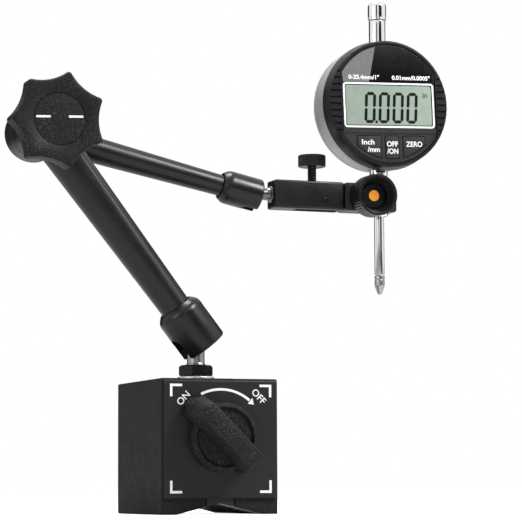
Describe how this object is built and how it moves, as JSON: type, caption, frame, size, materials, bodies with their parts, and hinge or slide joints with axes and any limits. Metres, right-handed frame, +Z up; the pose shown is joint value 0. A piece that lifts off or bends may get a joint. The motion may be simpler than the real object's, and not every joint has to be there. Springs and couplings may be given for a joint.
{
  "type": "digital indicator with magnetic base",
  "caption": "Digital dial indicator held by a two-arm jointed stand on a switchable magnetic base, with a star knob at the hub and a fine adjuster.",
  "frame": {"origin": "bottom centre of the bounding box, on the surface that the magnetic base stands on", "axes": "+Z up, the indicator's face and the switch look towards -Y, +X to the right seen from the front"},
  "size_m": [0.2062, 0.076, 0.2262],
  "materials": {
    "paint": "rough black paint",
    "spacer": "black paint",
    "plate": "satin dark grey",
    "oxide": "black oxide",
    "knob": "fine matt texture",
    "steel": "bright",
    "ferrite": "plain",
    "gloss": "semi-gloss black",
    "arm": "satin black",
    "brass": "plain",
    "cap": "gloss black",
    "alloy": "fine grey",
    "chrome": "polished",
    "carbide": "polished",
    "bezel": "satin black",
    "panel": "satin black with a gloss label",
    "lcd": "grey-green display",
    "lcd_back": "plain",
    "key": "matt rubber",
    "board": "green board"
  },
  "bodies": {
    "base": {"pole_left": "paint", "pole_right": "paint", "spacer_top": "spacer", "spacer_bottom": "spacer", "front_plate": "plate", "front_bearing": "spacer", "rear_plug": "paint", "stud_washer": "chrome", "lock_nut": "oxide"},
    "magnet_switch": {"switch_knob": "knob", "rotor_shaft": "steel", "rotor_magnet": "ferrite"},
    "lower_stud": {"lower_ball_stud": "steel"},
    "lower_arm": {"lower_arm": "arm", "lower_socket": "gloss", "lower_ball_cup": "brass", "lower_push_rod": "steel"},
    "upper_arm": {"upper_arm": "arm", "upper_socket": "gloss", "upper_ball_cup": "brass", "upper_push_rod": "steel", "hub_bolt": "steel"},
    "hub_knob": {"hub_knob": "knob", "hub_knob_cap": "knob", "hub_knob_insert": "brass"},
    "upper_stud": {"upper_ball_stud": "steel"},
    "holder": {"holder_block": "arm", "fine_pivot_pin": "oxide"},
    "fine_screw": {"fine_screw": "oxide"},
    "fine_lever": {"fine_lever": "arm"},
    "clamp": {"clamp_head": "arm"},
    "clamp_knob": {"clamp_knob": "oxide", "clamp_knob_cap": "cap", "clamp_screw": "steel"},
    "indicator": {"rear_body": "alloy", "back_cover": "alloy", "cover_screw_1": "steel", "cover_screw_2": "steel", "cover_screw_3": "steel", "cover_screw_4": "steel", "stem": "chrome", "upper_sleeve": "chrome", "dust_cap": "chrome", "battery": "steel"},
    "spindle": {"spindle": "chrome", "contact_point": "carbide", "scale_carrier": "spacer", "scale_strip": "board"},
    "display_head": {"bezel_ring": "bezel", "face_panel": "panel", "lcd_glass": "lcd", "lcd_module": "lcd_back", "circuit_board": "board"},
    "button_units": {"button_units": "key"},
    "button_power": {"button_power": "key"},
    "button_zero": {"button_zero": "key"}
  },
  "joints": [
    {"name": "switch_turn", "type": "hinge", "parent": "base", "child": "magnet_switch", "pos_m": [-0.01691, 0.00805, 0.031], "axis": [0, 1, 0], "range_deg": [0, 90]},
    {"name": "lower_swivel", "type": "hinge", "parent": "base", "child": "lower_stud", "pos_m": [-0.01691, 0.00805, 0.07463], "axis": [0, 0, 1], "range_deg": [-180, 180]},
    {"name": "lower_tilt", "type": "hinge", "parent": "lower_stud", "child": "lower_arm", "pos_m": [-0.01691, 0.00805, 0.07463], "axis": [0, -1, 0], "range_deg": [-50, 50]},
    {"name": "elbow", "type": "hinge", "parent": "lower_arm", "child": "upper_arm", "pos_m": [-0.08312, 0.02285, 0.15907], "axis": [0, -1, 0], "range_deg": [-15, 180]},
    {"name": "hub_knob_turn", "type": "hinge", "parent": "upper_arm", "child": "hub_knob", "pos_m": [-0.08312, 0.00055, 0.15907], "axis": [0, -1, 0], "range_deg": [0, 180]},
    {"name": "upper_tilt", "type": "hinge", "parent": "upper_arm", "child": "upper_stud", "pos_m": [0.01291, 0.02285, 0.1376], "axis": [0, 1, 0], "range_deg": [-10, 75]},
    {"name": "holder_swivel", "type": "hinge", "parent": "upper_stud", "child": "holder", "pos_m": [0.01291, 0.02285, 0.1376], "axis": [1, 0, 0], "range_deg": [-90, 90]},
    {"name": "fine_tilt", "type": "hinge", "parent": "holder", "child": "fine_lever", "pos_m": [0.04606, 0.02285, 0.1351], "axis": [0, -1, 0], "range_deg": [-2.2, 2.2]},
    {"name": "fine_screw_turn", "type": "hinge", "parent": "holder", "child": "fine_screw", "pos_m": [0.04226, 0.02285, 0.1438], "axis": [0, 0, 1], "range_deg": [-76, 76]},
    {"name": "clamp_swivel", "type": "hinge", "parent": "fine_lever", "child": "clamp", "pos_m": [0.05586, 0.02285, 0.1376], "axis": [-1, 0, 0], "range_deg": [-90, 90]},
    {"name": "clamp_knob_turn", "type": "hinge", "parent": "clamp", "child": "clamp_knob", "pos_m": [0.06706, 0.01765, 0.1376], "axis": [0, -1, 0], "range_deg": [0, 180]},
    {"name": "indicator_turn", "type": "hinge", "parent": "clamp", "child": "indicator", "pos_m": [0.07416, 0.02285, 0.1376], "axis": [0, 0, 1], "range_deg": [-180, 180]},
    {"name": "display_turn", "type": "hinge", "parent": "indicator", "child": "display_head", "pos_m": [0.07416, 0.01755, 0.1785], "axis": [0, 1, 0], "range_deg": [-135, 135]},
    {"name": "spindle_slide", "type": "slide", "parent": "indicator", "child": "spindle", "axis": [0, 0, 1], "range_m": [0, 0.0254], "stiffness_N_per_m": 20, "springref_m": -0.03},
    {"name": "button_units_press", "type": "slide", "parent": "display_head", "child": "button_units", "axis": [0, 1, 0], "range_m": [0, 0.0006], "stiffness_N_per_m": 800, "springref_m": -0.001},
    {"name": "button_power_press", "type": "slide", "parent": "display_head", "child": "button_power", "axis": [0, 1, 0], "range_m": [0, 0.0006], "stiffness_N_per_m": 800, "springref_m": -0.001},
    {"name": "button_zero_press", "type": "slide", "parent": "display_head", "child": "button_zero", "axis": [0, 1, 0], "range_m": [0, 0.0006], "stiffness_N_per_m": 800, "springref_m": -0.001}
  ],
  "couplings": [
    {"joint": "fine_screw_turn", "follows": "fine_tilt", "ratio": -34.109}
  ]
}
